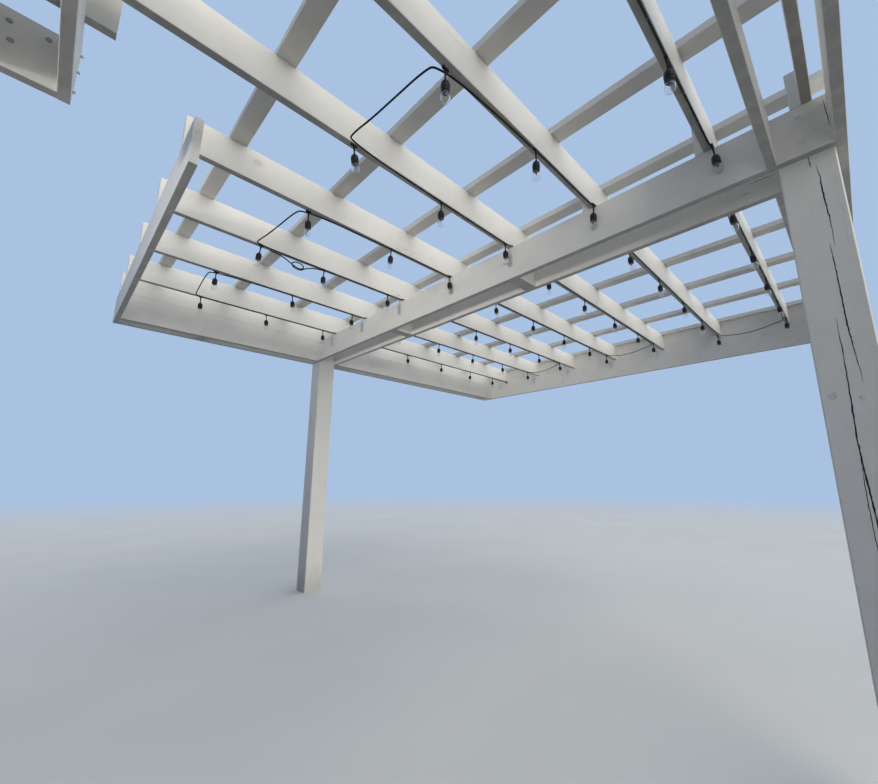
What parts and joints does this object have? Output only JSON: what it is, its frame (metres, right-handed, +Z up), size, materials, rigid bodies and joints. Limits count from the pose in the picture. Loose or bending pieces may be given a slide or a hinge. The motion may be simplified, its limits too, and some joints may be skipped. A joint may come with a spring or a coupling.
{
  "type": "wall mounted patio pergola",
  "caption": "White painted timber patio pergola: square posts, bolted double-ply beams, lapped rafters, flat slats, ledgers for a house wall, and clear bulb string lights.",
  "frame": {"origin": "middle of the foot of the right post, at patio level", "axes": "+X to the right along the main beam, +Y towards the house wall, +Z up"},
  "size_m": [4.708, 6.184, 3.012],
  "materials": {
    "white_paint": "white exterior paint on sawn softwood, with faint grain, knots and drying cracks",
    "cable": "black outdoor cable sheath",
    "socket": "black moulded lamp holder",
    "bulb": "clear glass"
  },
  "bodies": {
    "root": {"cable_ends": "socket", "far_rafter_1": "white_paint", "far_rafter_2": "white_paint", "far_rafter_3": "white_paint", "far_rafter_4": "white_paint", "far_rafter_5": "white_paint", "far_rafter_6": "white_paint", "far_rafter_7": "white_paint", "far_rafter_corner": "white_paint", "far_rafter_left": "white_paint", "far_slats": "white_paint", "house_ledger": "white_paint", "house_rim_board": "white_paint", "left_girder_far": "white_paint", "left_girder_near": "white_paint", "left_post": "white_paint", "light_bulbs": "bulb", "light_cable": "cable", "light_sockets": "socket", "main_beam_back": "white_paint", "main_beam_front": "white_paint", "masonry_bearer": "white_paint", "masonry_ledger": "white_paint", "near_beam_back": "white_paint", "near_beam_front": "white_paint", "near_post": "white_paint", "near_rafter_1": "white_paint", "near_rafter_2": "white_paint", "near_rafter_3": "white_paint", "near_rafter_4": "white_paint", "near_rafter_5": "white_paint", "near_rafter_6": "white_paint", "near_rafter_7": "white_paint", "near_rafter_corner": "white_paint", "near_rafter_left": "white_paint", "near_slats": "white_paint", "rafter_tails": "white_paint", "right_girder_far": "white_paint", "right_girder_near": "white_paint", "right_girder_outer": "white_paint", "right_post": "white_paint", "slack_loop": "cable", "spacer_blocks": "white_paint", "tail_slats": "white_paint"}
  },
  "joints": []
}
